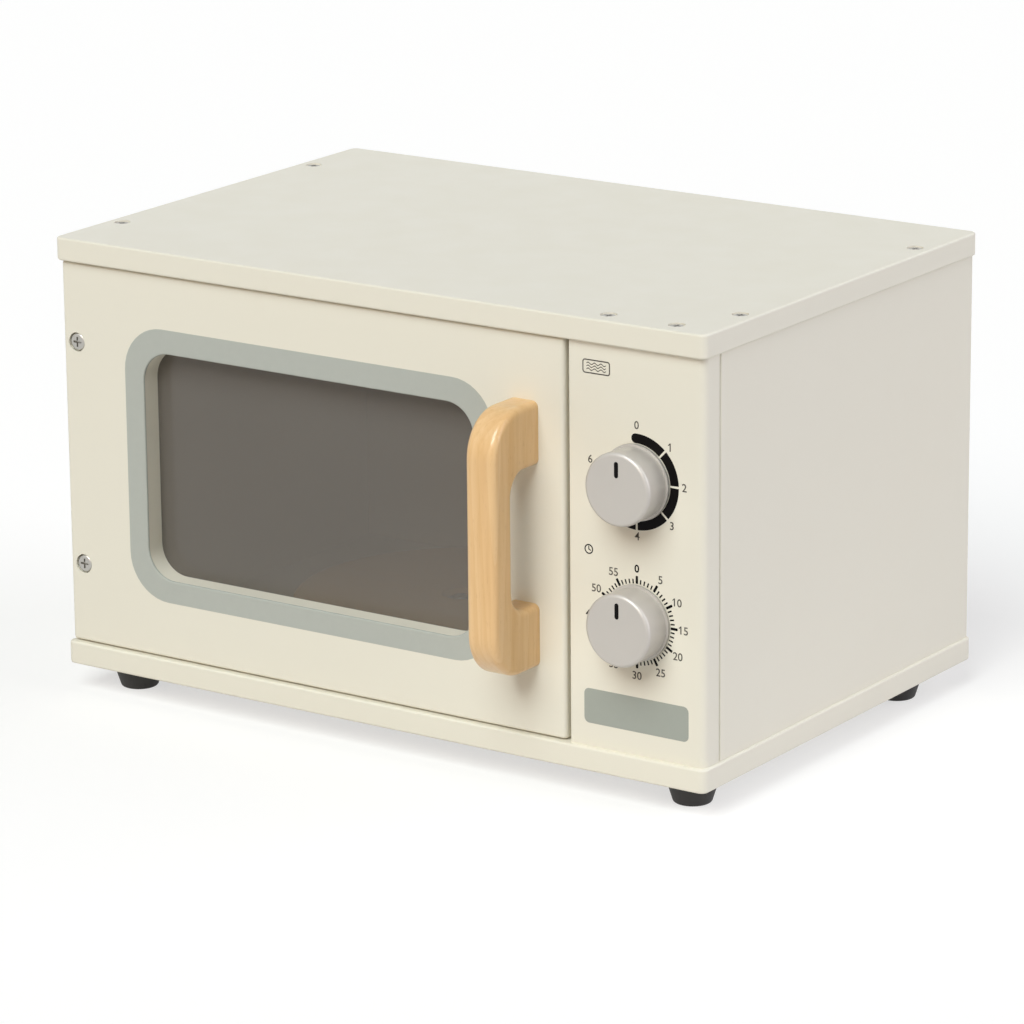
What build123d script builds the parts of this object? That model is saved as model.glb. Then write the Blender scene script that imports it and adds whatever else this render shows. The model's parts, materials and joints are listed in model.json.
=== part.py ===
"""Wooden toy microwave oven: a painted box with a hinged door, a turntable and two clicking dials.

Millimetres. X is to the right seen from the front, Y runs from the front to the back, Z is up.
The feet stand on Z = 0, and the origin is below the middle of everything, the handle included.
"""
import os

from build123d import *

os.makedirs("parts", exist_ok=True)

# ---------------------------------------------------------------- driving dimensions
# Box: a top and a base board with the standing boards between them
width = 341.5
depth = 226.6
box_h = 198.0            # underside of the base board to the top face
lid_t = 10.5             # top and base boards
wall_t = 12.0            # side boards, divider and control panel
side_reveal = 1.5        # how far the top and base boards stand out past the side boards,
front_reveal = 2.5       # past the door and the control panel,
back_reveal = 1.6        # and past the back ends of the side boards
corner_r = 3.5           # upright corners of the top and base boards
lid_edge_r = 1.0         # their softened edges
wall_edge_r = 0.8        # softened edges of the standing boards
panel_edge_r = 3.3       # upright front edge of the control panel
panel_joint = 0.5        # control panel to the right side board behind it
panel_w = 66.8           # control panel, from its free edge to the right side
divider_lap = 2.0        # how far the divider reaches behind the control panel
housing_d = 3.0          # depth of the divider's housings in the top and base boards
back_t = 4.0             # back board
back_inset = 6.0         # from the side boards' back ends to the back board
groove_d = 4.0           # depth of the back board's grooves

# Door
door_side_gap = 2.6      # door to control panel
door_end_gap = 0.6       # door to the top and base boards
door_back_gap = 0.5      # door to the divider's front edge
door_edge_r = 2.2        # upright edges of the door's face
door_end_r = 1.2         # its upper and lower edges
hinge_stile = 45.0       # door's board left, right, above and below the window
handle_stile = 46.6
top_rail = 35.35
bottom_rail = 35.95
window_r = 14.0
window_edge_r = 0.6
pane_t = 2.0
pane_lap = 8.0           # how far the pane reaches past the window all round
reveal_d = 10.0          # from the door's face to the pane
hinge_screw_pitch = 103.0
hinge_screw_in = 1.7     # hinge screws to the right of the pivot axis

# Hinge post behind the door's left edge
post_w = 12.0
post_front_d = 7.0       # from the door's back to the pivot axis
post_swing_gap = 0.6     # from the post's round back to the left side board
post_end_gap = 1.0       # post to the top and base boards
pivot_r = 2.0
pivot_chamfer = 0.4
pivot_in_post = 14.0
pivot_in_bush = 6.5
hinge_bush_r = 3.5
hinge_bush_l = 7.0
hinge_flange_r = 5.5
hinge_flange_t = 0.7

# Handle
handle_reach = 33.3      # how far it stands out from the door
handle_h = 116.9
handle_up = 0.7          # its middle above the middle of the door
handle_t = 15.0
handle_in = 20.7         # middle of the handle to the door's right edge
handle_leg = 28.0        # height of each leg
handle_grip = 14.0       # thickness of the grip
handle_outer_r = 20.0
handle_inner_r = 10.0
handle_edge_r = 3.0

# Magnetic catch
magnet_r = 3.0
magnet_l = 8.0

# Turntable
turntable_r = 77.0
turntable_t = 10.0
turntable_edge_r = 2.0
turntable_sink_r = 9.0   # counterbore over its screw
turntable_sink = 4.0
turntable_bush_r = 5.0
turntable_flange_r = 9.0
turntable_lift = 5.2     # thickness of its bush's flange
turntable_washer_r = 8.0

# Feet
foot_h = 12.5
foot_top_r = 12.2
foot_bottom_r = 8.3
foot_edge_r = 1.5
foot_left = 23.5         # foot centres from the edges of the base board
foot_right = 19.8
foot_front = 22.3
foot_back = 33.0
foot_sink = 6.0          # height of the screw head's seat above the floor
foot_bore_gap = 0.5      # radial, round the screw head

# Dials
power_up = 31.4          # power dial above the middle of the panel, time dial below it
time_down = 29.6
knob_r = 15.5            # at the skirt
knob_front_r = 16.0
knob_skirt_r = 16.5
knob_skirt_t = 1.2
knob_reach = 15.6        # knob face to control panel
knob_gap = 0.5
knob_edge_r = 1.6
knob_wall = 2.0
knob_face_t = 2.5
hub_r = 6.0
hub_bore_d = 9.5
spindle_r = 3.0
spindle_flat = 2.2       # flat of the D to the axis
dial_bush_r = 5.0
dial_flange_r = 8.0
dial_flange_t = 1.2
wheel_r = 11.0
wheel_t = 5.0
notch_r = 1.5
notches = 12
washer_r = 5.0
washer_t = 0.8
pawl_t = 4.5             # along the dial's axis
pawl_block = 9.0
pawl_finger_t = 1.2
pawl_nose_r = 1.4

# Wood screws, pan heads: shank radius, head radius, head height, length under the head
board_screw = (2.0, 3.4, 2.2, 32.0)
hinge_screw = (2.0, 4.1, 2.2, 16.0)
foot_screw = (1.75, 3.6, 2.0, 14.0)
handle_screw = (2.0, 4.1, 2.2, 26.0)
pane_screw = (1.2, 2.3, 1.4, 9.0)
catch_screw = (1.5, 3.2, 1.6, 9.0)
pawl_screw = (1.25, 2.4, 1.5, 12.0)
wheel_screw = (1.5, 2.8, 1.8, 9.0)
turntable_screw = (2.0, 3.8, 2.2, 20.0)
head_round = 0.45        # a head's rounding, as a share of its height
recess_d = 0.6           # depth of the cross recess, as a share of the head's height
recess_span = 0.55       # its span and its slot's width, as shares of the head's diameter
recess_slot = 0.11
point_share = 0.2        # a screw's blunt point, as a share of the shank's radius
sink_gap = 0.3           # radial, round the sunk heads of the board, hinge and handle screws
sink_below = 0.4         # how far a sunk head lies below the surface
side_screw_y = (39.5, 184.0)        # top screws from the front edge of the top board
panel_screw_dx = (-18.5, 15.0)      # top screws from the middle of the control panel
panel_screw_back = 1.5              # behind the middle of the panel's thickness
base_side_screw_y = (62.0, 160.0)   # base screws, which keep clear of the feet
base_panel_screw_dx = (-23.0, -1.0)

# Clearances
snug = 0.05              # each side, between pieces that are fixed together
run = 0.06               # radial, where a pin or spindle turns in a bush
tip = 0.3                # past the end of a pin, a screw or a tenon, and over a sliding face

# ---------------------------------------------------------------- planes and lines
handle_past = handle_reach - front_reveal           # handle past the front edge of the boards
y_front = -(depth - handle_past) / 2                # front edge of the top and base boards
y_back = y_front + depth
y_mid = (y_front + y_back) / 2
face_y = y_front + front_reveal                     # faces of the door and the control panel
panel_back = face_y + wall_t
door_t = wall_t - door_back_gap
door_back = face_y + door_t
walls_back = y_back - back_reveal
back_y = walls_back - back_inset - back_t           # front face of the back board

base_z = foot_h
wall_z = base_z + lid_t                             # lower ends of the standing boards
lid_z = base_z + box_h - lid_t                      # their upper ends
top_z = base_z + box_h
wall_h = lid_z - wall_z
mid_z = (wall_z + lid_z) / 2

x_out = width / 2 - side_reveal                     # outer faces of the side boards
x_in = x_out - wall_t
panel_x = x_out - panel_w                           # free edge of the control panel
panel_mid = (panel_x + x_out) / 2
door_x = panel_x - door_side_gap                    # right edge of the door
door_h = wall_h - 2 * door_end_gap
divider_right = panel_x + divider_lap
divider_left = divider_right - wall_t

pivot_x = -x_out + post_w / 2
pivot_y = door_back + post_front_d
left_wall_y = pivot_y + post_w / 2 + post_swing_gap
window_w = door_x + x_out - hinge_stile - handle_stile
window_h = door_h - top_rail - bottom_rail
window_x = door_x - handle_stile - window_w / 2
window_z = wall_z + door_end_gap + bottom_rail + window_h / 2
handle_x = door_x - handle_in
handle_z = mid_z + handle_up
pane_front = face_y + reveal_d
handle_leg_z = (handle_h - handle_leg) / 2          # leg centres above and below its middle
dial_wheel_y = panel_back + dial_flange_t + tip     # front face of the click wheels
spindle_end = dial_wheel_y + wheel_t
hub_y = face_y - knob_gap                           # back of the knobs and of their hubs
dials = {"power": mid_z + power_up, "time": mid_z - time_down}
turntable_x = (divider_left - x_in) / 2             # in the middle of the oven's cavity
turntable_y = (door_back + back_y) / 2
turntable_z = wall_z + turntable_lift + tip         # underside of the plate
turntable_seat_z = turntable_z + turntable_t - turntable_sink + tip   # upper end of its bush


# ---------------------------------------------------------------- shared shapes
def screw(size, sink=0.0):
    """A pan-headed cross-recess screw that points down, its head's seat sink below the origin."""
    shank_r, head_r, head_h, length = size
    with BuildPart() as piece:
        with Locations((0, 0, -sink)):
            Cylinder(head_r, head_h, align=(Align.CENTER, Align.CENTER, Align.MIN))
        fillet(piece.edges().sort_by(Axis.Z)[-1], head_h * head_round)
        with BuildSketch(Plane.XY.offset(head_h - sink)):
            Rectangle(2 * head_r * recess_span, 2 * head_r * recess_slot)
            Rectangle(2 * head_r * recess_slot, 2 * head_r * recess_span)
        extrude(amount=-head_h * recess_d, mode=Mode.SUBTRACT)
        with Locations((0, 0, -sink)):
            Cylinder(shank_r, length - shank_r, align=(Align.CENTER, Align.CENTER, Align.MAX))
        with Locations((0, 0, -sink - length + shank_r)):
            Cone(shank_r * point_share, shank_r, shank_r,
                 align=(Align.CENTER, Align.CENTER, Align.MAX))
    return piece.part


def flatted_bar(radius, flat):
    """The section of a round bar with a flat, the flat uppermost."""
    with BuildSketch() as section:
        Circle(radius)
        with Locations((0, flat)):
            Rectangle(2 * radius, radius, align=(Align.CENTER, Align.MIN), mode=Mode.SUBTRACT)
    return section.sketch


def lid_blank(z):
    """A top or base board with round corners and softened edges, its underside at height z."""
    with BuildPart() as blank:
        with BuildSketch(Plane.XY.offset(z)):
            with Locations((0, y_mid)):
                RectangleRounded(width, depth, corner_r)
        extrude(amount=lid_t)
        fillet(blank.edges().group_by(Axis.Z)[0] + blank.edges().group_by(Axis.Z)[-1], lid_edge_r)
    return blank.part


def slab(x0, x1, y0, y1, z0, z1):
    """A board between two corners."""
    with BuildPart() as blank:
        with Locations(((x0 + x1) / 2, (y0 + y1) / 2, (z0 + z1) / 2)):
            Box(x1 - x0, y1 - y0, z1 - z0)
    return blank.part


def front_face(x, y, z):
    """A plane that looks to the front, with its own X to the right and Y up."""
    return Plane((x, y, z), x_dir=(1, 0, 0), z_dir=(0, -1, 0))


def back_face(x, y, z):
    """A plane that looks to the back, with its own Y up."""
    return Plane((x, y, z), x_dir=(-1, 0, 0), z_dir=(0, 1, 0))


def pilot(size, sink=0.0):
    """Depth of a screw's hole below the face that it is driven in from."""
    return sink + size[3] + tip


# ---------------------------------------------------------------- where the screws go in
board_sink = board_screw[2] + sink_below
hinge_sink = hinge_screw[2] + sink_below
handle_sink = handle_screw[2] + sink_below
wall_mid = x_out - wall_t / 2
panel_screw_y = face_y + wall_t / 2 + panel_screw_back
top_screw_at = [(x, y_front + y) for x in (-wall_mid, wall_mid) for y in side_screw_y]
top_screw_at += [(panel_mid + dx, panel_screw_y) for dx in panel_screw_dx]
base_screw_at = [(x, y_front + y) for x in (-wall_mid, wall_mid) for y in base_side_screw_y]
base_screw_at += [(panel_mid + dx, panel_screw_y) for dx in base_panel_screw_dx]
top_screw_planes = [Plane((x, y, top_z)) for x, y in top_screw_at]
base_screw_planes = [Plane((x, y, base_z), z_dir=(0, 0, -1)) for x, y in base_screw_at]
hinge_screw_planes = [front_face(pivot_x + hinge_screw_in, face_y, mid_z + s * hinge_screw_pitch / 2)
                      for s in (-1, 1)]
handle_screw_planes = [back_face(handle_x, door_back, handle_z + s * handle_leg_z)
                       for s in (-1, 1)]
catch_x = (divider_left + door_x) / 2
catch_plane = back_face(catch_x, door_back, mid_z)
pane_dx = (window_w + pane_lap) / 2
pane_dz = (window_h + pane_lap) / 2
pane_back = pane_front + pane_t
pane_screw_planes = [back_face(window_x + i * pane_dx / 2, pane_back, window_z + k * pane_dz)
                     for i in (-1, 1) for k in (-1, 1)]
pane_screw_planes += [back_face(window_x + i * pane_dx, pane_back, window_z) for i in (-1, 1)]
foot_at = {
    "front_left": (-width / 2 + foot_left, y_front + foot_front),
    "front_right": (width / 2 - foot_right, y_front + foot_front),
    "back_left": (-width / 2 + foot_left, y_back - foot_back),
    "back_right": (width / 2 - foot_right, y_back - foot_back),
}
foot_screw_planes = [Plane((x, y, 0), z_dir=(0, 0, -1)) for x, y in foot_at.values()]
pawl_x = panel_mid - wheel_r - pawl_block           # middle of a click pawl's block
pawl_z = wheel_r + tip + 2 * pawl_nose_r + pawl_finger_t / 2    # its finger above the dial's axis
pawl_screw_planes = [back_face(pawl_x, panel_back + pawl_t, z + pawl_z) for z in dials.values()]
turntable_screw_plane = Plane((turntable_x, turntable_y, turntable_seat_z + washer_t))

# ---------------------------------------------------------------- top and base boards
divider_y = (panel_back - snug, back_y + snug)
back_groove = slab(-x_in - groove_d, x_in + groove_d, back_y - snug, back_y + back_t + snug,
                   wall_z - housing_d, lid_z + housing_d)
divider_housing = slab(divider_left - snug, divider_right + snug, *divider_y,
                       wall_z - housing_d, lid_z + housing_d)
hinge_bush_holes = {
    "base": Plane((pivot_x, pivot_y, wall_z)),
    "top": Plane((pivot_x, pivot_y, lid_z), z_dir=(0, 0, -1)),
}

with BuildPart() as base_board:
    add(lid_blank(base_z))
    add(back_groove, mode=Mode.SUBTRACT)
    add(divider_housing, mode=Mode.SUBTRACT)
    with Locations(*base_screw_planes):
        CounterBoreHole(board_screw[0] + snug, board_screw[1] + sink_gap, board_sink, depth=lid_t + tip)
    with Locations(hinge_bush_holes["base"]):
        Hole(hinge_bush_r + snug, depth=hinge_bush_l + tip)
    with Locations(*foot_screw_planes):
        Hole(foot_screw[0] + snug, depth=pilot(foot_screw, foot_sink))
    with Locations(turntable_screw_plane):
        Hole(turntable_screw[0] + snug, depth=pilot(turntable_screw))

with BuildPart() as top_board:
    add(lid_blank(lid_z))
    add(back_groove, mode=Mode.SUBTRACT)
    add(divider_housing, mode=Mode.SUBTRACT)
    with Locations(*top_screw_planes):
        CounterBoreHole(board_screw[0] + snug, board_screw[1] + sink_gap, board_sink, depth=lid_t + tip)
    with Locations(hinge_bush_holes["top"]):
        Hole(hinge_bush_r + snug, depth=hinge_bush_l + tip)

# ---------------------------------------------------------------- standing boards
with BuildPart() as left_side_board:
    add(slab(-x_out, -x_in, left_wall_y, walls_back, wall_z, lid_z))
    fillet(left_side_board.edges().filter_by(Axis.Z), wall_edge_r)
    add(back_groove, mode=Mode.SUBTRACT)
    with Locations(*top_screw_planes, *base_screw_planes):
        Hole(board_screw[0] + snug, depth=pilot(board_screw, board_sink))

with BuildPart() as right_side_board:
    add(slab(x_in, x_out, panel_back + panel_joint, walls_back, wall_z, lid_z))
    fillet(right_side_board.edges().filter_by(Axis.Z), wall_edge_r)
    add(back_groove, mode=Mode.SUBTRACT)
    with Locations(*top_screw_planes, *base_screw_planes):
        Hole(board_screw[0] + snug, depth=pilot(board_screw, board_sink))

with BuildPart() as divider_board:
    add(slab(divider_left, divider_right, panel_back, back_y,
             wall_z - housing_d + tip, lid_z + housing_d - tip))
    with Locations(front_face(catch_x, panel_back, mid_z)):
        Hole(magnet_r + snug, depth=magnet_l + tip)

with BuildPart() as back_board:
    add(slab(-x_in - groove_d + tip, x_in + groove_d - tip, back_y, back_y + back_t,
             wall_z - housing_d + tip, lid_z + housing_d - tip))

with BuildPart() as control_panel:
    add(slab(panel_x, x_out, face_y, panel_back, wall_z, lid_z))
    uprights = control_panel.edges().filter_by(Axis.Z)
    fillet(uprights.group_by(Axis.X)[-1].sort_by(Axis.Y)[0], panel_edge_r)
    fillet(control_panel.edges().filter_by(Axis.Z).group_by(Axis.X)[-1], wall_edge_r)
    with Locations(*top_screw_planes, *base_screw_planes):
        Hole(board_screw[0] + snug, depth=pilot(board_screw, board_sink))
    with Locations(*[front_face(panel_mid, face_y, z) for z in dials.values()]):
        Hole(dial_bush_r + snug, depth=wall_t)
    with Locations(*pawl_screw_planes):
        Hole(pawl_screw[0] + snug, depth=pilot(pawl_screw))

# ---------------------------------------------------------------- screws of the box
with BuildPart() as top_screws:
    with Locations(*top_screw_planes):
        add(screw(board_screw, board_sink))

with BuildPart() as base_screws:
    with Locations(*base_screw_planes):
        add(screw(board_screw, board_sink))

# ---------------------------------------------------------------- feet
feet = {}
for place, (x, y) in foot_at.items():
    with BuildPart() as foot:
        with Locations((x, y, 0)):
            Cone(foot_bottom_r, foot_top_r, foot_h, align=(Align.CENTER, Align.CENTER, Align.MIN))
        fillet(foot.edges().sort_by(Axis.Z)[0], foot_edge_r)
        with Locations(Plane((x, y, 0), z_dir=(0, 0, -1))):
            CounterBoreHole(foot_screw[0] + snug, foot_screw[1] + foot_bore_gap, foot_sink,
                            depth=foot_h)
    feet["foot_" + place] = foot

with BuildPart() as foot_screws:
    with Locations(*foot_screw_planes):
        add(screw(foot_screw, foot_sink))

# ---------------------------------------------------------------- hinge
with BuildPart() as hinge_post:
    with BuildSketch(Plane.XY.offset(wall_z + post_end_gap)):
        with Locations((pivot_x, door_back + post_front_d / 2)):
            Rectangle(post_w, post_front_d)
        with Locations((pivot_x, pivot_y)):
            Circle(post_w / 2)
    extrude(amount=wall_h - 2 * post_end_gap)
    with Locations(Plane((pivot_x, pivot_y, wall_z + post_end_gap), z_dir=(0, 0, -1)),
                   Plane((pivot_x, pivot_y, lid_z - post_end_gap))):
        Hole(pivot_r + snug, depth=pivot_in_post + tip)
    with Locations(*hinge_screw_planes):
        Hole(hinge_screw[0] + snug, depth=pilot(hinge_screw, hinge_sink))

hinge_bushes, pivot_pins = {}, {}
for place, seat in hinge_bush_holes.items():
    with BuildPart(seat) as bush:
        Cylinder(hinge_bush_r, hinge_bush_l, align=(Align.CENTER, Align.CENTER, Align.MAX))
        Cylinder(hinge_flange_r, hinge_flange_t, align=(Align.CENTER, Align.CENTER, Align.MIN))
        Cylinder(pivot_r + run, 2 * (hinge_bush_l + hinge_flange_t), mode=Mode.SUBTRACT)
    hinge_bushes[place] = bush
    with BuildPart(seat.offset(-pivot_in_bush)) as pin:
        Cylinder(pivot_r, pivot_in_bush + post_end_gap + pivot_in_post,
                 align=(Align.CENTER, Align.CENTER, Align.MIN))
        chamfer(pin.edges().filter_by(GeomType.CIRCLE), pivot_chamfer)
    pivot_pins[place] = pin

# ---------------------------------------------------------------- door
with BuildPart() as door_board:
    add(slab(-x_out, door_x, face_y, door_back, wall_z + door_end_gap, lid_z - door_end_gap))
    face_edges = door_board.faces().sort_by(Axis.Y)[0].edges()
    fillet(face_edges.filter_by(Axis.Z), door_edge_r)
    fillet(door_board.faces().sort_by(Axis.Y)[0].edges().filter_by(Axis.X), door_end_r)
    with BuildSketch(Plane.XZ.offset(-face_y)):
        with Locations((window_x, window_z)):
            RectangleRounded(window_w, window_h, window_r)
    extrude(amount=-door_t, mode=Mode.SUBTRACT)
    rim = door_board.faces().sort_by(Axis.Y)[0].inner_wires()[0].edges()
    fillet(rim, window_edge_r)
    with BuildSketch(Plane.XZ.offset(-door_back)):
        with Locations((window_x, window_z)):
            RectangleRounded(window_w + 2 * (pane_lap + snug), window_h + 2 * (pane_lap + snug),
                             window_r + pane_lap)
    extrude(amount=door_t - reveal_d, mode=Mode.SUBTRACT)
    with Locations(*hinge_screw_planes):
        CounterBoreHole(hinge_screw[0] + snug, hinge_screw[1] + sink_gap, hinge_sink,
                        depth=door_t + tip)
    with Locations(*handle_screw_planes):
        CounterBoreHole(handle_screw[0] + snug, handle_screw[1] + sink_gap, handle_sink,
                        depth=door_t + tip)
    with Locations(*pane_screw_planes):
        Hole(pane_screw[0] + snug, depth=pilot(pane_screw))
    with Locations(catch_plane):
        CounterBoreHole(catch_screw[0] + snug, catch_screw[1] + snug, catch_screw[2],
                        depth=pilot(catch_screw, catch_screw[2]))

with BuildPart() as window_pane:
    with BuildSketch(Plane.XZ.offset(-pane_front)):
        with Locations((window_x, window_z)):
            RectangleRounded(window_w + 2 * pane_lap, window_h + 2 * pane_lap, window_r + pane_lap)
    extrude(amount=-pane_t)
    with Locations(*pane_screw_planes):
        Hole(pane_screw[0] + snug, depth=pane_t + tip)

with BuildPart() as pane_screws:
    with Locations(*pane_screw_planes):
        add(screw(pane_screw))

with BuildPart() as hinge_screws:
    with Locations(*hinge_screw_planes):
        add(screw(hinge_screw, hinge_sink))

with BuildPart() as handle:
    with BuildSketch(Plane.YZ.offset(handle_x - handle_t / 2)) as side:
        with Locations((face_y - handle_reach / 2, handle_z)):
            Rectangle(handle_reach, handle_h)
        fillet(side.vertices().group_by(Axis.X)[0], handle_outer_r)
        with Locations((face_y, handle_z)):
            RectangleRounded(2 * (handle_reach - handle_grip), handle_h - 2 * handle_leg,
                             handle_inner_r, mode=Mode.SUBTRACT)
    extrude(amount=handle_t)
    fillet(handle.edges().filter_by(lambda edge: edge.center().Y < face_y - snug)
           .filter_by(lambda edge: abs(edge.center().X - handle_x) > snug), handle_edge_r)
    with Locations(*handle_screw_planes):
        Hole(handle_screw[0] + snug, depth=pilot(handle_screw, handle_sink))

with BuildPart() as handle_screws:
    with Locations(*handle_screw_planes):
        add(screw(handle_screw, handle_sink))

with BuildPart() as catch_strike_screw:
    with Locations(catch_plane):
        add(screw(catch_screw, catch_screw[2]))

with BuildPart(back_face(catch_x, panel_back, mid_z)) as catch_magnet:
    Cylinder(magnet_r, magnet_l, align=(Align.CENTER, Align.CENTER, Align.MIN))

# ---------------------------------------------------------------- turntable
with BuildPart() as turntable_plate:
    with Locations((turntable_x, turntable_y, turntable_z)):
        Cylinder(turntable_r, turntable_t, align=(Align.CENTER, Align.CENTER, Align.MIN))
    fillet(turntable_plate.edges().filter_by(GeomType.CIRCLE), turntable_edge_r)
    with Locations((turntable_x, turntable_y, turntable_z + turntable_t)):
        CounterBoreHole(turntable_bush_r + run, turntable_sink_r, turntable_sink,
                        depth=turntable_t)

with BuildPart(Plane((turntable_x, turntable_y, wall_z))) as turntable_bush:
    Cylinder(turntable_bush_r, turntable_seat_z - wall_z,
             align=(Align.CENTER, Align.CENTER, Align.MIN))
    Cylinder(turntable_flange_r, turntable_lift, align=(Align.CENTER, Align.CENTER, Align.MIN))
    Cylinder(turntable_screw[0] + snug, 2 * turntable_seat_z, mode=Mode.SUBTRACT)

with BuildPart(Plane((turntable_x, turntable_y, turntable_seat_z))) as turntable_washer:
    Cylinder(turntable_washer_r, washer_t, align=(Align.CENTER, Align.CENTER, Align.MIN))
    Cylinder(turntable_screw[0] + snug, 4 * washer_t, mode=Mode.SUBTRACT)

with BuildPart() as turntable_fixing_screw:
    with Locations(turntable_screw_plane):
        add(screw(turntable_screw))

# ---------------------------------------------------------------- dials
spindle_section = flatted_bar(spindle_r, spindle_flat)
spindle_bore = flatted_bar(spindle_r + snug, spindle_flat + snug)
dial_parts = {}
for name, z in dials.items():
    knob_back = front_face(panel_mid, hub_y, z)
    with BuildPart(knob_back) as knob:
        Cone(knob_r, knob_front_r, knob_reach - knob_gap,
             align=(Align.CENTER, Align.CENTER, Align.MIN))
        fillet(knob.edges().sort_by(Axis.Y)[0], knob_edge_r)
        Cylinder(knob_skirt_r, knob_skirt_t, align=(Align.CENTER, Align.CENTER, Align.MIN))
        Cylinder(knob_front_r - knob_wall, knob_reach - knob_gap - knob_face_t,
                 align=(Align.CENTER, Align.CENTER, Align.MIN), mode=Mode.SUBTRACT)
        Cylinder(hub_r, knob_reach - knob_gap - knob_face_t,
                 align=(Align.CENTER, Align.CENTER, Align.MIN))
        with BuildSketch(knob_back):
            add(spindle_bore)
        extrude(amount=hub_bore_d, mode=Mode.SUBTRACT)

    # The spindle is round in its bush, with a flat in the click wheel and in the knob
    with BuildPart() as spindle:
        with BuildSketch(front_face(panel_mid, spindle_end - wheel_t, z)):
            Circle(spindle_r)
        extrude(amount=spindle_end - wheel_t - hub_y)
        with BuildSketch(front_face(panel_mid, spindle_end, z)):
            add(spindle_section)
        extrude(amount=wheel_t)
        with BuildSketch(front_face(panel_mid, hub_y, z)):
            add(spindle_section)
        extrude(amount=hub_bore_d - tip)
        with Locations(back_face(panel_mid, spindle_end, z)):
            Hole(wheel_screw[0] + snug, depth=wheel_screw[3] + tip)

    with BuildPart(front_face(panel_mid, panel_back, z)) as dial_bush:
        Cylinder(dial_bush_r, wall_t - knob_gap, align=(Align.CENTER, Align.CENTER, Align.MIN))
        Cylinder(dial_flange_r, dial_flange_t, align=(Align.CENTER, Align.CENTER, Align.MAX))
        Cylinder(spindle_r + run, 2 * wall_t, mode=Mode.SUBTRACT)

    wheel_front = back_face(panel_mid, dial_wheel_y, z)
    with BuildPart(wheel_front) as click_wheel:
        with BuildSketch(wheel_front):
            Circle(wheel_r)
            with PolarLocations(wheel_r, notches, start_angle=90):
                Circle(notch_r, mode=Mode.SUBTRACT)
            add(spindle_bore, mode=Mode.SUBTRACT)
        extrude(amount=wheel_t)

    with BuildPart(back_face(panel_mid, spindle_end, z)) as washer:
        Cylinder(washer_r, washer_t, align=(Align.CENTER, Align.CENTER, Align.MIN))
        Cylinder(wheel_screw[0] + snug, 4 * washer_t, mode=Mode.SUBTRACT)

    with BuildPart() as washer_screw:
        with Locations(back_face(panel_mid, spindle_end + washer_t, z)):
            add(screw(wheel_screw))

    # The pawl's nose is drawn lifted, just clear of the wheel's teeth
    with BuildPart() as pawl:
        with BuildSketch(Plane.XZ.offset(-panel_back)):
            with Locations((pawl_x, z + pawl_z)):
                Rectangle(pawl_block, pawl_block)
            with Locations(((pawl_x + panel_mid) / 2, z + pawl_z)):
                Rectangle(panel_mid - pawl_x, pawl_finger_t)
            with Locations((panel_mid, z + wheel_r + tip + pawl_nose_r)):
                Circle(pawl_nose_r)
                Rectangle(2 * pawl_nose_r, pawl_nose_r + pawl_finger_t,
                          align=(Align.CENTER, Align.MIN))
        extrude(amount=-pawl_t)
        with Locations(back_face(pawl_x, panel_back + pawl_t, z + pawl_z)):
            Hole(pawl_screw[0] + snug, depth=pawl_t + tip)

    dial_parts.update({
        name + "_knob": knob,
        name + "_spindle": spindle,
        name + "_dial_bush": dial_bush,
        name + "_click_wheel": click_wheel,
        name + "_washer": washer,
        name + "_washer_screw": washer_screw,
        name + "_click_pawl": pawl,
    })

with BuildPart() as pawl_screws:
    with Locations(*pawl_screw_planes):
        add(screw(pawl_screw))

# ---------------------------------------------------------------- STEP files
pieces = {
    "base_board": base_board,
    "top_board": top_board,
    "left_side_board": left_side_board,
    "right_side_board": right_side_board,
    "divider_board": divider_board,
    "back_board": back_board,
    "control_panel": control_panel,
    "top_screws": top_screws,
    "base_screws": base_screws,
    "foot_screws": foot_screws,
    "catch_magnet": catch_magnet,
    "lower_hinge_bush": hinge_bushes["base"],
    "upper_hinge_bush": hinge_bushes["top"],
    "pawl_screws": pawl_screws,
    "door_board": door_board,
    "window_pane": window_pane,
    "pane_screws": pane_screws,
    "hinge_post": hinge_post,
    "lower_pivot_pin": pivot_pins["base"],
    "upper_pivot_pin": pivot_pins["top"],
    "hinge_screws": hinge_screws,
    "handle": handle,
    "handle_screws": handle_screws,
    "catch_strike_screw": catch_strike_screw,
    "turntable_plate": turntable_plate,
    "turntable_bush": turntable_bush,
    "turntable_washer": turntable_washer,
    "turntable_screw": turntable_fixing_screw,
    **feet,
    **dial_parts,
}
for label, piece in pieces.items():
    piece.part.label = label
    export_step(piece.part, f"parts/{label}.step")
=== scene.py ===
"""Toy microwave oven: finishes, printed marks, floor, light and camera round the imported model.

Metres. X is to the right seen from the front, Y runs from the front to the back, Z is up.
"""

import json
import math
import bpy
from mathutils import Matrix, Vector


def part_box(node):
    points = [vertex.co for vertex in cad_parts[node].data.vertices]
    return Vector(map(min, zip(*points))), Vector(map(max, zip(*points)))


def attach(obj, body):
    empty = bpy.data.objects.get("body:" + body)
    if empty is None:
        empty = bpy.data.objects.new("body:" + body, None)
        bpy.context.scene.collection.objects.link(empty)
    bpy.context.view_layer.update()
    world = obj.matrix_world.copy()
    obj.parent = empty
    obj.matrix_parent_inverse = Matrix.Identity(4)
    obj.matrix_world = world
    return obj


bl_info = {
    "name": "Toy Microwave Oven",
    "version": (1, 0, 0),
    "blender": (4, 5, 0),
    "location": "3D View > Sidebar > Toy Oven",
    "description": "Finishes and prints a wooden toy microwave oven and sets it on a pale floor",
    "category": "Object",
}

import bmesh
import bpy
from bpy.props import FloatProperty, FloatVectorProperty, IntProperty, PointerProperty
from mathutils import Matrix, Vector

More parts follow.
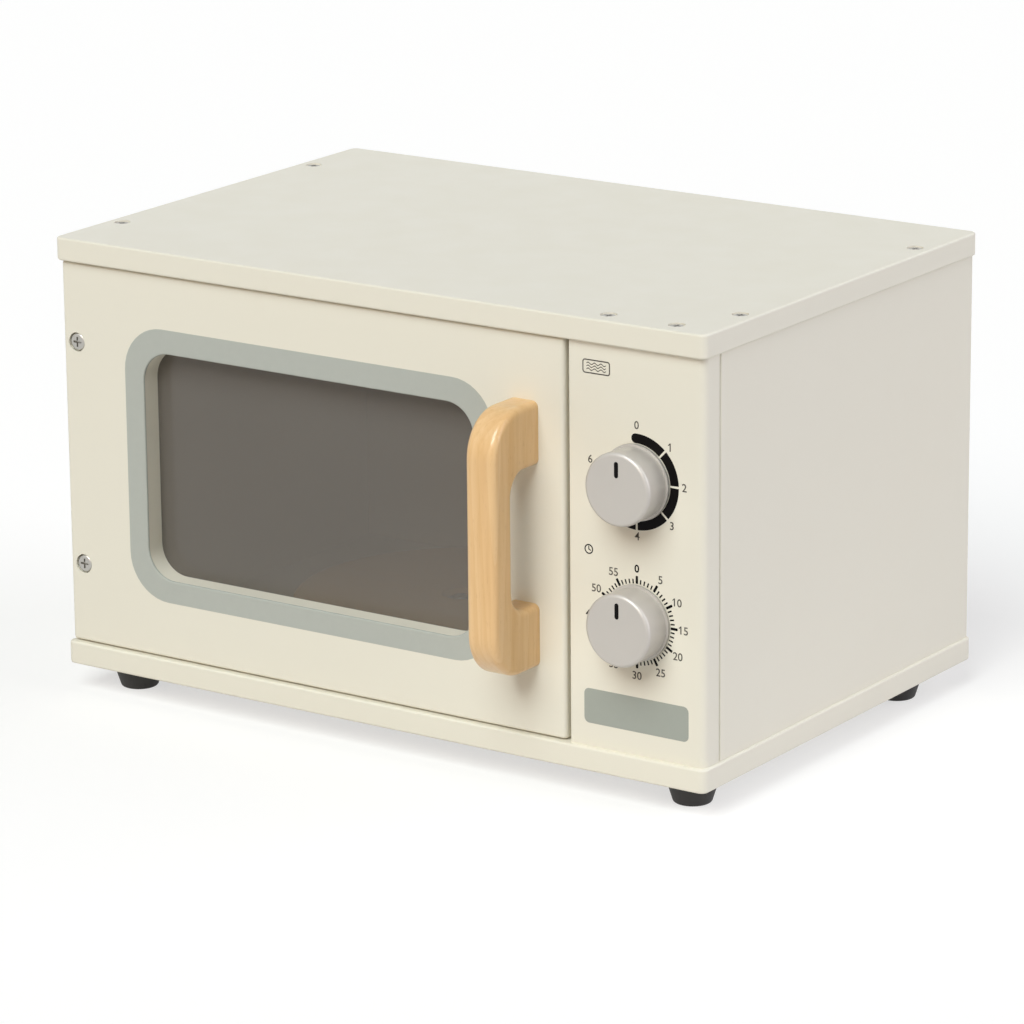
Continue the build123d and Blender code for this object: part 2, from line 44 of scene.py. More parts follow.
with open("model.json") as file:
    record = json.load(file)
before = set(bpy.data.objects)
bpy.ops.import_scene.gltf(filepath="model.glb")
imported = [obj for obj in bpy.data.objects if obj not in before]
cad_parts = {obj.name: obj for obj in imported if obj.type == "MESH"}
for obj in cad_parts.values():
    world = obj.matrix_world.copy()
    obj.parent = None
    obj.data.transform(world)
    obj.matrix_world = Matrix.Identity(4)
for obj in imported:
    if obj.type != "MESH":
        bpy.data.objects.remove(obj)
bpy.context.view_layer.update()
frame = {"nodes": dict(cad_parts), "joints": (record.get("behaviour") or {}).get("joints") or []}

MM = 0.001
NODES = frame["nodes"]
PIVOTS = {joint["name"]: Vector(joint["pos_m"]) for joint in frame["joints"]}
PANEL_LOW, PANEL_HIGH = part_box("control_panel")
PANE_LOW, PANE_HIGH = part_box("window_pane")
PANEL_MIDDLE = (PANEL_LOW.x + PANEL_HIGH.x) / 2
FACE = PANEL_LOW.y          # the faces of the door and the control panel lie in one plane
DIALS = {"power": PIVOTS["power_dial_turn"].z, "time": PIVOTS["time_dial_turn"].z}
LAMP_DISTANCE = 3.0
SAME_PLACE = 1e-7           # points of a print that lie nearer than this are one point


# ---------------------------------------------------------------- colours
def srgb(red, green, blue):
    """A screen colour, each channel 0 to 255, as the linear colour that Blender keeps."""
    def channel(value):
        share = value / 255
        return share / 12.92 if share <= 0.04045 else ((share + 0.055) / 1.055) ** 2.4
    return channel(red), channel(green), channel(blue)


def shade(colour, amount, warmth=0.0):
    """The colour made lighter or darker, and warmer or cooler."""
    red, green, blue = colour[:3]
    return red * amount * (1 + warmth), green * amount, blue * amount * (1 - warmth)


# ---------------------------------------------------------------- what a user may change
def colour(label, about, value):
    """A colour on the panel."""
    return FloatVectorProperty(name=label, description=about, default=value, subtype="COLOR",
                               size=3, min=0.0, max=1.0)


def length(label, about, value):
    """A length, given in millimetres and kept in metres."""
    return FloatProperty(name=label, description=about, default=value * MM, subtype="DISTANCE",
                         unit="LENGTH", min=0.0, precision=5)


def angle(label, about, degrees):
    """An angle, given in degrees and kept in radians."""
    return FloatProperty(name=label, description=about, default=math.radians(degrees),
                         subtype="ANGLE", unit="ROTATION")


def amount(label, about, value):
    """A plain number from zero upwards."""
    return FloatProperty(name=label, description=about, default=value, min=0.0)


class OvenColours(bpy.types.PropertyGroup):
    """Tones of the finishes, the inks and the floor"""
    paint: colour("Paint", "Cream paint of the boards and the door", srgb(232, 227, 211))
    beech_pale: colour("Pale Beech", "Early wood of handle and turntable", srgb(234, 195, 140))
    beech_deep: colour("Deep Beech", "Late wood and streaks in the beech", srgb(219, 170, 106))
    beech_fleck: colour("Beech Fleck", "Short dark rays in the beech", srgb(184, 128, 78))
    pane: colour("Pane", "Smoke tint of the window pane", srgb(127, 122, 115))
    knob: colour("Knob", "Satin silver lacquer of the knobs", srgb(196, 191, 184))
    rubber: colour("Rubber", "Rubber of the feet", srgb(48, 47, 46))
    nylon: colour("Nylon", "Hidden bushes, pawls and click wheels", srgb(226, 225, 220))
    steel: colour("Steel", "Zinc plated screws, pins and washers", srgb(186, 184, 178))
    ring_ink: colour("Ring Ink", "Printed band round the window", srgb(181, 184, 176))
    badge_ink: colour("Badge Ink", "Printed plate below the dials", srgb(164, 168, 159))
    mark_ink: colour("Mark Ink", "Black scale marks and pointers", srgb(16, 14, 14))
    figure_ink: colour("Figure Ink", "Dark grey figures", srgb(84, 80, 74))
    floor: colour("Floor", "Pale studio floor", srgb(221, 219, 215))


class OvenPrints(bpy.types.PropertyGroup):
    """Sizes of the printed marks"""
    ink_proud: length("Ink Thickness", "How far ink stands above the paint", 0.06)
    ink_sunk: length("Ink Root", "How far a print's underside lies in the paint", 0.05)
    ring_side: length("Ring Sides", "Width of the printed band beside the window", 10.2)
    ring_top: length("Ring Top", "Its width above the window", 11.05)
    ring_bottom: length("Ring Bottom", "Its width below the window", 10.15)
    ring_radius: length("Ring Corner", "Outer corner radius of the band", 21.0)
    window_radius: length("Window Corner", "Corner radius of the window opening", 14.0)
    window_round: length("Window Edge", "Rounding of the opening's edge", 0.6)
    pane_lap: length("Pane Lap", "How far the pane reaches past the opening", 8.0)
    band_inner: length("Band Inner Radius", "Inner radius of the power dial's band", 16.65)
    band_outer: length("Band Outer Radius", "Outer radius of the power dial's band", 20.8)
    band_gap: length("Band Gap", "Space between the band's fields", 0.95)
    tick_inner: length("Tick Inner Radius", "Where the time dial's ticks begin", 16.8)
    tick_long: length("Long Tick", "Length of every fifth tick", 3.4)
    tick_short: length("Short Tick", "Length of the other ticks", 2.0)
    tick_wide: length("Wide Tick", "Width of every fifth tick", 1.15)
    tick_narrow: length("Narrow Tick", "Width of the other ticks", 0.65)
    tick_count: IntProperty(name="Ticks", description="Ticks round the time dial",
                            default=60, min=12, max=120)
    figure_height: length("Figure Height", "Height of the figures", 3.5)
    figure_radius: length("Figure Radius", "Middle of the figures from the dial's axis", 23.4)
    figure_weight: amount("Figure Weight", "How much the figures' strokes are thickened", 0.006)
    zero_weight: amount("Zero Weight", "How much the time dial's zero is thickened", 0.022)
    pointer_inner: length("Pointer Inner End", "From the knob's axis to the pointer", 5.2)
    pointer_outer: length("Pointer Outer End", "From the knob's axis to its outer end", 12.2)
    pointer_width: length("Pointer Width", "Width of the pointer line", 2.0)
    badge_width: length("Badge Width", "Width of the plate below the dials", 52.2)
    badge_height: length("Badge Height", "Its height", 15.4)
    badge_corner: length("Badge Corner", "Its corner radius", 2.5)
    badge_shift: length("Badge Shift", "Its middle to the left of the panel's middle", 0.5)
    badge_rise: length("Badge Rise", "Its middle above the panel's lower edge", 18.1)
    frame_width: length("Frame Width", "Width of the frame round the heat waves", 13.7)
    frame_height: length("Frame Height", "Its height", 6.1)
    frame_corner: length("Frame Corner", "Its outer corner radius", 1.3)
    frame_line: length("Frame Line", "Width of its line", 0.5)
    frame_shift: length("Frame Shift", "Its middle to the left of the panel's middle", 19.9)
    frame_drop: length("Frame Drop", "Its middle below the panel's upper edge", 10.7)
    wave_length: length("Wave Length", "Length of a row of heat waves", 9.6)
    wave_swing: length("Wave Swing", "How far a wave rises and falls", 0.42)
    wave_pitch: length("Wave Pitch", "Distance from row to row", 1.25)
    wave_line: length("Wave Line", "Width of a wave's line", 0.4)
    clock_radius: length("Clock Radius", "Outer radius of the small clock", 2.15)
    clock_line: length("Clock Line", "Width of its ring", 0.5)
    clock_hand: length("Clock Hand", "Width of its hands", 0.44)
    clock_shift: length("Clock Shift", "Its middle to the left of the panel's middle", 24.0)
    clock_rise: length("Clock Rise", "Its middle above the time dial's axis", 28.2)


class OvenStudio(bpy.types.PropertyGroup):
    """Camera, lamps and floor"""
    lens: FloatProperty(name="Lens", description="Focal length in millimetres on a 36 mm frame",
                        default=181.03, min=10.0)
    azimuth: angle("Azimuth", "Camera's turn to the right of the front", 34.4701)
    elevation: angle("Elevation", "Camera's angle above the floor", 15.9109)
    roll: angle("Roll", "Camera's lean", -0.5236)
    distance: FloatProperty(name="Distance", description="Camera to the point it looks at",
                            default=2.3182441, subtype="DISTANCE", unit="LENGTH")
    target: FloatVectorProperty(name="Target", description="The point the camera looks at",
                                default=(-0.0026161, 0.0146, 0.082188), size=3,
                                subtype="TRANSLATION", unit="LENGTH")
    high: amount("High Lamp", "Strength of the soft lamp high in front", 2.71)
    low: amount("Low Lamp", "Strength of the soft lamp low in front", 0.40)
    side: amount("Side Lamp", "Strength of the soft lamp behind on the right", 1.80)
    surround: amount("Surround", "Level of the even light from all round", 0.02)
    backdrop: amount("Backdrop", "Level that the camera sees round the floor", 1.0)
    floor_share: amount("Floor Share", "Share of the floor's lit tone that the camera sees", 0.62)
    floor_lift: amount("Floor Lift", "Light that the camera sees added to the floor", 0.61)
    floor_size: FloatProperty(name="Floor Size", description="Side of the square floor",
                              default=28.0, subtype="DISTANCE", unit="LENGTH", min=1.0)


# ---------------------------------------------------------------- node trees of the finishes
def feed(tree, socket, value):
    """Links an output to a socket, or sets the socket's own value."""
    if isinstance(value, bpy.types.NodeSocket):
        tree.links.new(value, socket)
    elif socket.type == "RGBA":
        socket.default_value = (*value[:3], 1.0)
    else:
        socket.default_value = value


def add_node(tree, kind, sockets=None, **settings):
    """A node with its settings, and with its sockets fed by name or number."""
    node = tree.nodes.new(kind)
    for setting, value in settings.items():
        setattr(node, setting, value)
    for socket, value in (sockets or {}).items():
        feed(tree, node.inputs[socket], value)
    return node


class Finish:
    """One finish: a Principled shader and the nodes that feed it, on Object coordinates."""

    def __init__(self, name):
        self.material = bpy.data.materials.new(name)
        self.material.use_nodes = True
        self.tree = self.material.node_tree
        self.shader = self.tree.nodes["Principled BSDF"]
        self.place = self.add("ShaderNodeTexCoord").outputs["Object"]

    def add(self, kind, sockets=None, **settings):
        return add_node(self.tree, kind, sockets, **settings)

    def set(self, **sockets):
        """Sets the shader's own sockets; a name's underscores are spaces."""
        for name, value in sockets.items():
            feed(self.tree, self.shader.inputs[name.replace("_", " ")], value)

    def turned(self, turn=(0.0, 0.0, 0.0), scale=(1.0, 1.0, 1.0), middle=(0.0, 0.0, 0.0)):
        """Coordinates moved to a middle, turned and then stretched."""
        moved = self.add("ShaderNodeMapping", {
            "Vector": self.place, "Location": tuple(-part for part in middle)}).outputs[0]
        spun = self.add("ShaderNodeMapping", {
            "Vector": moved, "Rotation": tuple(math.radians(part) for part in turn)}).outputs[0]
        return self.add("ShaderNodeMapping", {"Vector": spun, "Scale": scale}).outputs[0]

    def noise(self, scale, detail=2.0, roughness=0.5, distortion=0.0, vector=None):
        """A cloudy height from 0 to 1."""
        return self.add("ShaderNodeTexNoise", {
            "Vector": vector or self.place, "Scale": scale, "Detail": detail,
            "Roughness": roughness, "Distortion": distortion}).outputs["Fac"]

    def spread(self, value, low, high, to_low=0.0, to_high=1.0):
        """A value between low and high carried over to another range, and held there."""
        return self.add("ShaderNodeMapRange", {
            "Value": value, "From Min": low, "From Max": high,
            "To Min": to_low, "To Max": to_high}).outputs["Result"]

    def blend(self, first, second, share):
        """From the first colour to the second, by a share from 0 to 1."""
        return self.add("ShaderNodeMix", {0: share, 6: first, 7: second},
                        data_type="RGBA").outputs[2]

    def bump(self, height, depth, strength, under=None):
        """A normal that follows a height, laid over the normal under it."""
        sockets = {"Height": height, "Distance": depth, "Strength": strength}
        if under:
            sockets["Normal"] = under
        return self.add("ShaderNodeBump", sockets).outputs["Normal"]


def painted_wood(paint):
    """Sprayed satin cream paint over board: slow drift, fine orange peel, faint grain, handling."""
    finish = Finish("cream_paint")
    drift = finish.noise(7.0, 3.0)
    peel = finish.noise(520.0, 2.0)
    speckle = finish.noise(1700.0, 2.0)
    grain = finish.noise(160.0, 3.0, vector=finish.turned(scale=(0.05, 1.0, 1.0)))
    handling = finish.spread(finish.noise(38.0, 6.0, 0.72), 0.60, 0.74)
    tone = finish.blend(shade(paint, 0.985, 0.006), shade(paint, 1.012, -0.006), drift)
    speckled = finish.spread(speckle, 0.62, 0.8, 0.0, 0.35)
    tone = finish.blend(tone, shade(paint, 0.94, 0.02), speckled)
    handled = finish.spread(handling, 0.0, 1.0, 0.0, 0.12)
    tone = finish.blend(tone, shade(paint, 0.9, 0.03), handled)
    rough = finish.spread(finish.noise(60.0, 4.0), 0.3, 0.7, 0.36, 0.50)
    normal = finish.bump(grain, 0.03 * MM, 0.35)
    normal = finish.bump(peel, 0.04 * MM, 0.35, normal)
    finish.set(Base_Color=tone, Roughness=rough, Normal=normal, Specular_IOR_Level=0.32)
    return finish.material


def beech(name, colours, turn, middle):
    """Lacquered beech whose grain runs along the turned Z: rings, fibres and short dark rays."""
    pale, deep, fleck = colours
    finish = Finish(name)
    board = finish.turned(turn, (1.0, 1.0, 0.045), middle)
    lean = (turn[0] + 1.2, turn[1] + 1.8, turn[2] + 34.0)   # the rings run out along the piece
    rings = finish.add("ShaderNodeTexWave", {
        "Vector": finish.turned(lean, (1.0, 1.0, 0.05), middle), "Scale": 88.0,
        "Distortion": 1.6, "Detail": 3.0, "Detail Scale": 0.55, "Detail Roughness": 0.55},
        wave_type="BANDS", bands_direction="X", wave_profile="SAW").outputs["Fac"]
    fibres = finish.noise(640.0, 4.0, 0.6, vector=board)
    streaks = finish.noise(120.0, 3.0, 0.5, 0.3, vector=board)
    rays = finish.noise(2100.0, 1.0, 0.4, vector=finish.turned(turn, (1.0, 0.55, 0.13), middle))
    tone = finish.blend(pale, deep, finish.spread(rings, 0.15, 1.0, 0.1, 0.4))
    tone = finish.blend(tone, deep, finish.spread(streaks, 0.42, 0.68, 0.0, 0.5))
    tone = finish.blend(tone, shade(deep, 0.94), finish.spread(fibres, 0.5, 0.75, 0.0, 0.45))
    tone = finish.blend(tone, fleck, finish.spread(rays, 0.665, 0.73, 0.0, 0.16))
    normal = finish.bump(fibres, 0.05 * MM, 0.4)
    normal = finish.bump(rays, 0.03 * MM, 0.25, normal)
    finish.set(Base_Color=tone, Roughness=finish.spread(streaks, 0.3, 0.7, 0.36, 0.48),
               Normal=normal, Coat_Weight=0.6, Coat_Roughness=0.09)
    return finish.material


def smoke_pane(tint):
    """Polished smoke-tinted acrylic, about half seen through, with dust and wiped smears."""
    finish = Finish("smoke_pane")
    cloud = finish.noise(14.0, 3.0)
    wiped = finish.turned((0.0, 25.0, 0.0), (0.3, 1.0, 1.0))
    smear = finish.noise(45.0, 5.0, 0.6, 0.4, vector=wiped)
    dust = finish.spread(finish.noise(2600.0, 1.0), 0.70, 0.8)
    tone = finish.blend(shade(tint, 0.94), shade(tint, 1.06), cloud)
    tone = finish.blend(tone, shade(tint, 1.7), finish.spread(dust, 0.0, 1.0, 0.0, 0.18))
    finish.set(Base_Color=tone, Roughness=finish.spread(smear, 0.35, 0.75, 0.07, 0.17),
               Normal=finish.bump(cloud, 0.2 * MM, 0.08), IOR=1.49, Alpha=0.46)
    return finish.material


def moulded(name, tone_colour, roughness, texture, depth, metallic=0.0):
    """Moulded plastic or rubber: slight flow marks, a spark-eroded skin and a few rubbed spots."""
    finish = Finish(name)
    flow = finish.noise(32.0, 3.0, 0.5, 0.6)
    skin = finish.noise(texture, 2.0)
    rubbed = finish.spread(finish.noise(110.0, 5.0, 0.7), 0.6, 0.78)
    tone = finish.blend(shade(tone_colour, 0.97), shade(tone_colour, 1.03), flow)
    tone = finish.blend(tone, shade(tone_colour, 1.1), finish.spread(rubbed, 0.0, 1.0, 0.0, 0.2))
    rough = finish.spread(rubbed, 0.0, 1.0, roughness, roughness - 0.1)
    finish.set(Base_Color=tone, Roughness=rough, Metallic=metallic,
               Normal=finish.bump(skin, depth, 0.4))
    return finish.material


def plated(name, metal, roughness):
    """Plated steel: a fine drawn grain, patchy dulling and darker specks."""
    finish = Finish(name)
    drawn = finish.noise(900.0, 3.0, 0.6, vector=finish.turned(scale=(1.0, 1.0, 0.2)))
    dull = finish.noise(130.0, 4.0, 0.6)
    specks = finish.spread(finish.noise(1500.0, 1.0), 0.66, 0.76)
    tone = finish.blend(shade(metal, 0.9), shade(metal, 1.04), dull)
    tone = finish.blend(tone, shade(metal, 0.55, 0.05), finish.spread(specks, 0.0, 1.0, 0.0, 0.4))
    finish.set(Base_Color=tone, Metallic=1.0, Normal=finish.bump(drawn, 0.03 * MM, 0.3),
               Roughness=finish.spread(dull, 0.3, 0.7, roughness - 0.06, roughness + 0.1))
    return finish.material


def ink(name, tone_colour, roughness=0.5):
    """Pad-printed ink: uneven cover, tiny pinholes and a flat skin."""
    finish = Finish(name)
    cover = finish.noise(240.0, 4.0, 0.6)
    holes = finish.spread(finish.noise(3200.0, 1.0), 0.70, 0.80)
    tone = finish.blend(shade(tone_colour, 0.97), shade(tone_colour, 1.03), cover)
    tone = finish.blend(tone, shade(tone_colour, 1.25), finish.spread(holes, 0.0, 1.0, 0.0, 0.3))
    finish.set(Base_Color=tone, Normal=finish.bump(cover, 0.02 * MM, 0.3), Specular_IOR_Level=0.06,
               Roughness=finish.spread(cover, 0.3, 0.7, roughness - 0.05, roughness + 0.07))
    return finish.material


def dress(material, *nodes):
    """Gives CAD nodes this finish in place of their plain one."""
    for node in nodes:
        for slot in NODES[node].material_slots:
            slot.material = material


# ---------------------------------------------------------------- thin printed shapes
def arc(middle, radius, start, end, steps):
    """Points round a middle, the angles in degrees anticlockwise from the right."""
    turns = [math.radians(start + (end - start) * step / steps) for step in range(steps + 1)]
    return [(middle[0] + radius * math.cos(turn), middle[1] + radius * math.sin(turn))
            for turn in turns]


def rounded_box(left, right, low, high, radius, steps=10):
    """Outline of a box with round corners, anticlockwise from its right side's lower end."""
    corners = (((right - radius, low + radius), 270), ((right - radius, high - radius), 0),
               ((left + radius, high - radius), 90), ((left + radius, low + radius), 180))
    return [point for middle, start in corners
            for point in arc(middle, radius, start, start + 90, steps)]


def capsule(first, second, radius, steps=10):
    """Outline of a straight bar with round ends."""
    along = math.degrees(math.atan2(second[1] - first[1], second[0] - first[0]))
    return (arc(first, radius, along + 90, along + 270, steps)
            + arc(second, radius, along - 90, along + 90, steps))


class Print:
    """Shapes in ink on one flat face, gathered into closed shells: right, up and out from it."""

    def __init__(self, prints):
        self.proud, self.sunk = prints.ink_proud, prints.ink_sunk
        self.points, self.faces = [], []

    def patch(self, outline):
        """A filled convex outline."""
        first, count = len(self.points), len(outline)
        self.points += [(u, v, -self.sunk) for u, v in outline]
        self.points += [(u, v, self.proud) for u, v in outline]
        self.faces.append([first + index for index in reversed(range(count))])
        self.faces.append([first + count + index for index in range(count)])
        for index in range(count):
            after = (index + 1) % count
            self.faces.append([first + index, first + after,
                               first + count + after, first + count + index])

    def strip(self, inner, outer, closed=False):
        """The space between two lines with as many points each."""
        first, count = len(self.points), len(inner)
        for (a, b), (c, d) in zip(inner, outer):
            self.points += [(a, b, -self.sunk), (a, b, self.proud),
                            (c, d, self.proud), (c, d, -self.sunk)]
        for index in range(count if closed else count - 1):
            here, there = first + 4 * index, first + 4 * ((index + 1) % count)
            for side in range(4):
                after = (side + 1) % 4
                self.faces.append([here + side, here + after, there + after, there + side])
        if not closed:
            last = first + 4 * (count - 1)
            self.faces += [[first + 3, first + 2, first + 1, first],
                           [last, last + 1, last + 2, last + 3]]

    def figure(self, text, height, middle, weight):
        """A plain figure round a place, with a flag where it starts with 1."""
        flat = flat_figure(text, height, middle, self.proud, self.sunk, weight)
        self.mesh(flat)
        if text[0] == "1":
            self.patch(flag(flat, height))

    def mesh(self, flat):
        """Takes over a flat mesh that is already thick, such as figures."""
        first = len(self.points)
        self.points += [tuple(vertex.co) for vertex in flat.vertices]
        self.faces += [[first + index for index in face.vertices] for face in flat.polygons]

    def piece(self, name, middle):
        """The finished object, facing the front round a middle."""
        return closed_shell(name, [(middle[0] + u, middle[1] - w, middle[2] + v)
                                   for u, v, w in self.points], self.faces)


def closed_shell(name, points, faces):
    """A mesh object whose doubles are merged and whose faces point outwards."""
    mesh = bpy.data.meshes.new(name)
    mesh.from_pydata(points, [], faces)
    shell = bmesh.new()
    shell.from_mesh(mesh)
    bmesh.ops.remove_doubles(shell, verts=shell.verts, dist=SAME_PLACE)
    bmesh.ops.recalc_face_normals(shell, faces=shell.faces)
    shell.to_mesh(mesh)
    shell.free()
    piece = bpy.data.objects.new(name, mesh)
    bpy.context.scene.collection.objects.link(piece)
    return piece


def plain_mesh(carrier):
    """The mesh that a text or modified object shows, after which the object is gone."""
    bpy.context.view_layer.update()
    shown = carrier.evaluated_get(bpy.context.evaluated_depsgraph_get())
    mesh = bpy.data.meshes.new_from_object(shown)
    bpy.data.objects.remove(carrier)
    return mesh


def flat_figure(text, height, middle, proud, sunk, weight):
    """A plain figure as a thick flat mesh, its middle at a place on the face."""
    words = bpy.data.curves.new("figure", "FONT")
    words.body = text
    words.size = 1.0
    words.offset = weight
    words.extrude = 0.5
    words.resolution_u = 5
    carrier = bpy.data.objects.new("figure", words)
    bpy.context.scene.collection.objects.link(carrier)
    mesh = plain_mesh(carrier)
    low = Vector(min(vertex.co[axis] for vertex in mesh.vertices) for axis in range(3))
    high = Vector(max(vertex.co[axis] for vertex in mesh.vertices) for axis in range(3))
    scale = height / (high.y - low.y)
    thick = (proud + sunk) / (high.z - low.z)
    mesh.transform(Matrix.Translation((middle[0], middle[1], (proud - sunk) / 2))
                   @ Matrix.Diagonal((scale, scale, thick, 1.0))
                   @ Matrix.Translation(-(low + high) / 2))
    return mesh


def flag(flat, height):
    """Outline of the short stroke at the top of a figure that starts with 1."""
    left = min(vertex.co.x for vertex in flat.vertices)
    top = max(vertex.co.y for vertex in flat.vertices)
    half, reach, drop = 0.055 * height, 0.16 * height, 0.26 * height
    return capsule((left - reach, top - drop), (left + half, top - half), half, 4)


def on_dial(radius, clockwise):
    """Right and up of a point round a dial, its angle in degrees clockwise from the top."""
    turn = math.radians(clockwise)
    return radius * math.sin(turn), radius * math.cos(turn)


def fit(piece, body, material):
    """Gives a finished piece its material and the body that it belongs to."""
    piece.data.materials.clear()
    piece.data.materials.append(material)
    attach(piece, body)


# ---------------------------------------------------------------- ticks by Geometry Nodes
def tick_tree():
    """A dial's ticks: flat bars round the origin, every so many of them longer and wider."""
    tree = bpy.data.node_groups.new("dial_ticks", "GeometryNodeTree")
    for label, kind, value in (
            ("Count", "NodeSocketInt", 60), ("Long Every", "NodeSocketInt", 5),
            ("Inner Radius", "NodeSocketFloat", 0.017), ("Long Length", "NodeSocketFloat", 0.003),
            ("Long Width", "NodeSocketFloat", 0.001), ("Short Length", "NodeSocketFloat", 0.002),
            ("Short Width", "NodeSocketFloat", 0.0006), ("Thickness", "NodeSocketFloat", 0.0001)):
        tree.interface.new_socket(label, in_out="INPUT", socket_type=kind).default_value = value
    tree.interface.new_socket("Ink", in_out="INPUT", socket_type="NodeSocketMaterial")
    tree.interface.new_socket("Geometry", in_out="OUTPUT", socket_type="NodeSocketGeometry")
    sizes = tree.nodes.new("NodeGroupInput").outputs

    def add(kind, sockets=None, **settings):
        return add_node(tree, kind, sockets, **settings)

    def maths(operation, first, second):
        return add("ShaderNodeMath", {0: first, 1: second}, operation=operation).outputs[0]

    def bar(length_socket, width_socket):
        """A closed flat bar from the inner radius outwards, its corners slightly round."""
        outline = add("GeometryNodeCurvePrimitiveQuadrilateral",
                      {"Width": length_socket, "Height": width_socket}).outputs[0]
        outline = add("GeometryNodeFilletCurve", {
            "Curve": outline, "Count": 2, "Radius": maths("MULTIPLY", width_socket, 0.2)},
            mode="POLY").outputs[0]
        sheet = add("GeometryNodeFillCurve", {"Curve": outline}, mode="NGONS").outputs[0]
        raised = add("GeometryNodeExtrudeMesh", {
            "Mesh": sheet, "Offset Scale": sizes["Thickness"]}).outputs[0]
        joined = add("GeometryNodeJoinGeometry")
        tree.links.new(add("GeometryNodeFlipFaces", {"Mesh": sheet}).outputs[0], joined.inputs[0])
        tree.links.new(raised, joined.inputs[0])
        shell = add("GeometryNodeMergeByDistance", {
            "Geometry": joined.outputs[0], "Distance": SAME_PLACE}).outputs[0]
        out = maths("ADD", sizes["Inner Radius"], maths("MULTIPLY", length_socket, 0.5))
        moved = add("ShaderNodeCombineXYZ", {"X": out}).outputs[0]
        return add("GeometryNodeTransform", {"Geometry": shell, "Translation": moved}).outputs[0]

    index = add("GeometryNodeInputIndex").outputs[0]
    turn = maths("MULTIPLY", maths("DIVIDE", index, sizes["Count"]), -2 * math.pi)
    rotation = add("ShaderNodeCombineXYZ", {"Z": maths("ADD", turn, math.pi / 2)}).outputs[0]
    rotation = add("FunctionNodeEulerToRotation", {"Euler": rotation}).outputs[0]
    is_short = maths("GREATER_THAN", maths("MODULO", index, sizes["Long Every"]), 0.5)
    is_long = maths("SUBTRACT", 1.0, is_short)
    points = add("GeometryNodePoints", {"Count": sizes["Count"]}).outputs[0]
    gathered = add("GeometryNodeJoinGeometry")
    for chosen, size in ((is_long, "Long"), (is_short, "Short")):
        bars = add("GeometryNodeInstanceOnPoints", {
            "Points": points, "Selection": chosen, "Rotation": rotation,
            "Instance": bar(sizes[size + " Length"], sizes[size + " Width"])}).outputs[0]
        tree.links.new(bars, gathered.inputs[0])
    real = add("GeometryNodeRealizeInstances", {"Geometry": gathered.outputs[0]}).outputs[0]
    inked = add("GeometryNodeSetMaterial", {"Geometry": real, "Material": sizes["Ink"]}).outputs[0]
    tree.links.new(inked, tree.nodes.new("NodeGroupOutput").inputs[0])
    return tree


def grown(tree, values):
    """The plain mesh that a tree makes with these named inputs."""
    carrier = bpy.data.objects.new(tree.name, bpy.data.meshes.new(tree.name))
    bpy.context.scene.collection.objects.link(carrier)
    modifier = carrier.modifiers.new(tree.name, "NODES")
    modifier.node_group = tree
    for item in tree.interface.items_tree:
        if item.item_type == "SOCKET" and item.in_out == "INPUT":
            modifier[item.identifier] = values[item.name]
    return plain_mesh(carrier)


# ---------------------------------------------------------------- one operator for each piece
class OVEN_OT_paint_boards(bpy.types.Operator):
    """Paint the boards, the door and the hinge post"""
    bl_idname = "oven.paint_boards"
    bl_label = "Painted Boards"

    def execute(self, context):
        dress(painted_wood(context.scene.oven_colours.paint),
              "base_board", "top_board", "left_side_board", "right_side_board", "divider_board",
              "back_board", "control_panel", "door_board", "hinge_post")
        return {"FINISHED"}


class OVEN_OT_finish_beech(bpy.types.Operator):
    """Finish the beech handle and turntable"""
    bl_idname = "oven.finish_beech"
    bl_label = "Beech Handle and Turntable"

    def execute(self, context):
        colours = context.scene.oven_colours
        tones = colours.beech_pale, colours.beech_deep, colours.beech_fleck
        low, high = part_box("handle")
        dress(beech("handle_beech", tones, (0.0, 0.0, 0.0), (low + high) / 2), "handle")
        dress(beech("turntable_beech", tones, (0.0, 90.0, 0.0), PIVOTS["turntable_turn"]),
              "turntable_plate")
        return {"FINISHED"}


class OVEN_OT_finish_pane(bpy.types.Operator):
    """Tint and polish the window pane"""
    bl_idname = "oven.finish_pane"
    bl_label = "Window Pane"

    def execute(self, context):
        dress(smoke_pane(context.scene.oven_colours.pane), "window_pane")
        return {"FINISHED"}


class OVEN_OT_finish_knobs(bpy.types.Operator):
    """Finish the two knobs in satin silver lacquer over plastic"""
    bl_idname = "oven.finish_knobs"
    bl_label = "Knobs"

    def execute(self, context):
        dress(moulded("knob_skin", context.scene.oven_colours.knob, roughness=0.42,
                      texture=1900.0, depth=0.02 * MM, metallic=0.3),
              "power_knob", "time_knob")
        return {"FINISHED"}


class OVEN_OT_finish_feet(bpy.types.Operator):
    """Finish the rubber feet"""
    bl_idname = "oven.finish_feet"
    bl_label = "Rubber Feet"

    def execute(self, context):
        dress(moulded("foot_rubber", context.scene.oven_colours.rubber, roughness=0.66,
                      texture=1300.0, depth=0.06 * MM),
              "foot_front_left", "foot_front_right", "foot_back_left", "foot_back_right")
        return {"FINISHED"}


class OVEN_OT_finish_fittings(bpy.types.Operator):
    """Finish the screws, pins, washers and the magnet"""
    bl_idname = "oven.finish_fittings"
    bl_label = "Steel Fittings"

    def execute(self, context):
        steel = context.scene.oven_colours.steel
        dress(plated("zinc_steel", steel, roughness=0.34),
              "top_screws", "base_screws", "foot_screws", "pawl_screws", "pane_screws",
              "hinge_screws", "handle_screws", "catch_strike_screw", "lower_pivot_pin",
              "upper_pivot_pin", "turntable_washer", "turntable_screw", "power_spindle",
              "time_spindle", "power_washer", "time_washer", "power_washer_screw",
              "time_washer_screw")
        dress(plated("nickel_magnet", shade(steel, 0.92, -0.03), roughness=0.24), "catch_magnet")
        return {"FINISHED"}


